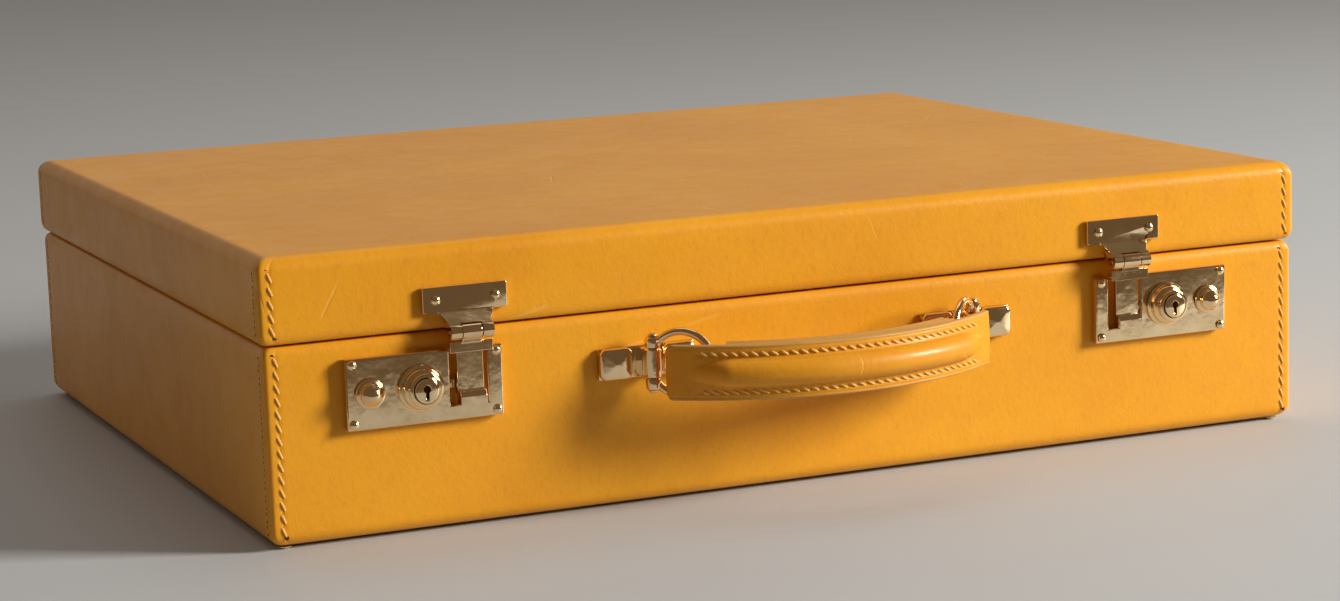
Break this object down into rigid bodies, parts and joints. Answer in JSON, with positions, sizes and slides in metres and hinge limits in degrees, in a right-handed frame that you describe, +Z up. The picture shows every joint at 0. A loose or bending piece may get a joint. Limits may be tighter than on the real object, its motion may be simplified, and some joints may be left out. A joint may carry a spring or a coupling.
{
  "type": "jewellery case",
  "caption": "Leather-covered attache-style jewellery case with a hinged lid, two hasp locks, a bowed carrying handle on swivel rings and a lift-out tray.",
  "frame": {"origin": "on the ground plane under the feet, at the centre of the box around the whole case, handle and hinges included", "axes": "+X to the right seen from the front, -Y out of the front with the locks and handle, +Z up"},
  "size_m": [0.4, 0.3694, 0.0982],
  "materials": {
    "case_leather": "waxed bridle hide, semi-gloss",
    "handle_leather": "waxed bridle hide, polished by handling",
    "tab_leather": "thin waxed hide",
    "carcass_wood": "bare plywood",
    "suede_lining": "suede nap",
    "lid_pad_suede": "padded suede",
    "ring_roll_velvet": "padded velvet",
    "lock_brass": "polished pale brass",
    "brass_nails": "polished pale brass",
    "hinge_brass": "satin pale brass"
  },
  "bodies": {
    "base": {"base_carcass": "carcass_wood", "base_dust_lip": "suede_lining", "base_leather_cover": "case_leather", "base_lining": "suede_lining", "foot_back_left": "brass_nails", "foot_back_right": "brass_nails", "foot_front_left": "brass_nails", "foot_front_right": "brass_nails", "handle_fitting_left": "lock_brass", "handle_fitting_right": "lock_brass", "handle_pin_left": "lock_brass", "handle_pin_right": "lock_brass", "lock_barrel_left": "lock_brass", "lock_barrel_right": "lock_brass", "lock_nail_left_inner_bottom": "brass_nails", "lock_nail_left_inner_top": "brass_nails", "lock_nail_left_outer_bottom": "brass_nails", "lock_nail_left_outer_top": "brass_nails", "lock_nail_right_inner_bottom": "brass_nails", "lock_nail_right_inner_top": "brass_nails", "lock_nail_right_outer_bottom": "brass_nails", "lock_nail_right_outer_top": "brass_nails", "lock_plate_left": "lock_brass", "lock_plate_right": "lock_brass", "rear_hinge_base_leaf_left": "hinge_brass", "rear_hinge_base_leaf_right": "hinge_brass", "rear_hinge_pin_left": "hinge_brass", "rear_hinge_pin_right": "hinge_brass"},
    "handle": {"handle_backing": "handle_leather", "handle_strap": "handle_leather"},
    "handle_ring_left_body": {"handle_ring_left": "lock_brass"},
    "handle_ring_right_body": {"handle_ring_right": "lock_brass"},
    "hasp_left_body": {"hasp_left": "lock_brass"},
    "lid": {"hasp_pin_left": "lock_brass", "hasp_pin_right": "lock_brass", "hasp_strike_left": "lock_brass", "hasp_strike_right": "lock_brass", "lid_carcass": "carcass_wood", "lid_leather_cover": "case_leather", "lid_lining": "suede_lining", "lid_pad": "lid_pad_suede", "rear_hinge_lid_leaf_left": "hinge_brass", "rear_hinge_lid_leaf_right": "hinge_brass", "strike_nail_left_inner": "brass_nails", "strike_nail_left_outer": "brass_nails", "strike_nail_right_inner": "brass_nails", "strike_nail_right_outer": "brass_nails"},
    "hasp_right_body": {"hasp_right": "lock_brass"},
    "key_plug_left_body": {"key_plug_left": "lock_brass"},
    "key_plug_right_body": {"key_plug_right": "lock_brass"},
    "knob_left_body": {"lock_knob_left": "lock_brass"},
    "knob_right_body": {"lock_knob_right": "lock_brass"},
    "tray_body": {"ring_roll_1": "ring_roll_velvet", "ring_roll_2": "ring_roll_velvet", "ring_roll_3": "ring_roll_velvet", "tray": "suede_lining", "tray_tab_left": "tab_leather", "tray_tab_right": "tab_leather"}
  },
  "joints": [
    {"name": "lid_hinge", "type": "hinge", "parent": "base", "child": "lid", "pos_m": [0, 0.18193, 0.0687], "axis": [-1, 0, 0], "range_deg": [0, 100]},
    {"name": "hasp_left_hinge", "type": "hinge", "parent": "lid", "child": "hasp_left_body", "pos_m": [-0.1294, -0.14768, 0.0687], "axis": [-1, 0, 0], "range_deg": [0, 140]},
    {"name": "hasp_right_hinge", "type": "hinge", "parent": "lid", "child": "hasp_right_body", "pos_m": [0.125, -0.14768, 0.0687], "axis": [-1, 0, 0], "range_deg": [0, 140]},
    {"name": "knob_left_slide", "type": "slide", "parent": "base", "child": "knob_left_body", "axis": [1, 0, 0], "range_m": [0, 0.0036]},
    {"name": "knob_right_slide", "type": "slide", "parent": "base", "child": "knob_right_body", "axis": [-1, 0, 0], "range_m": [0, 0.0036]},
    {"name": "key_plug_left_turn", "type": "hinge", "parent": "base", "child": "key_plug_left_body", "pos_m": [-0.1466, -0.14968, 0.0505], "axis": [0, 1, 0], "range_deg": [0, 90]},
    {"name": "key_plug_right_turn", "type": "hinge", "parent": "base", "child": "key_plug_right_body", "pos_m": [0.1422, -0.14968, 0.0505], "axis": [0, 1, 0], "range_deg": [0, 90]},
    {"name": "handle_pull", "type": "slide", "parent": "base", "child": "handle", "axis": [0, -1, 0], "range_m": [0, 0.007]},
    {"name": "ring_left_swing", "type": "hinge", "parent": "base", "child": "handle_ring_left_body", "pos_m": [-0.0642, -0.14818, 0.0509], "axis": [0, 0, 1], "range_deg": [-17, 0]},
    {"name": "ring_right_swing", "type": "hinge", "parent": "base", "child": "handle_ring_right_body", "pos_m": [0.0598, -0.14818, 0.0509], "axis": [0, 0, 1], "range_deg": [0, 18]},
    {"name": "tray_lift", "type": "slide", "parent": "base", "child": "tray_body", "axis": [0, 0, 1], "range_m": [0, 0.01]}
  ],
  "couplings": [
    {"joint": "ring_left_swing", "follows": "handle_pull", "rad_per_m": -41.148},
    {"joint": "ring_right_swing", "follows": "handle_pull", "rad_per_m": 43.169}
  ]
}
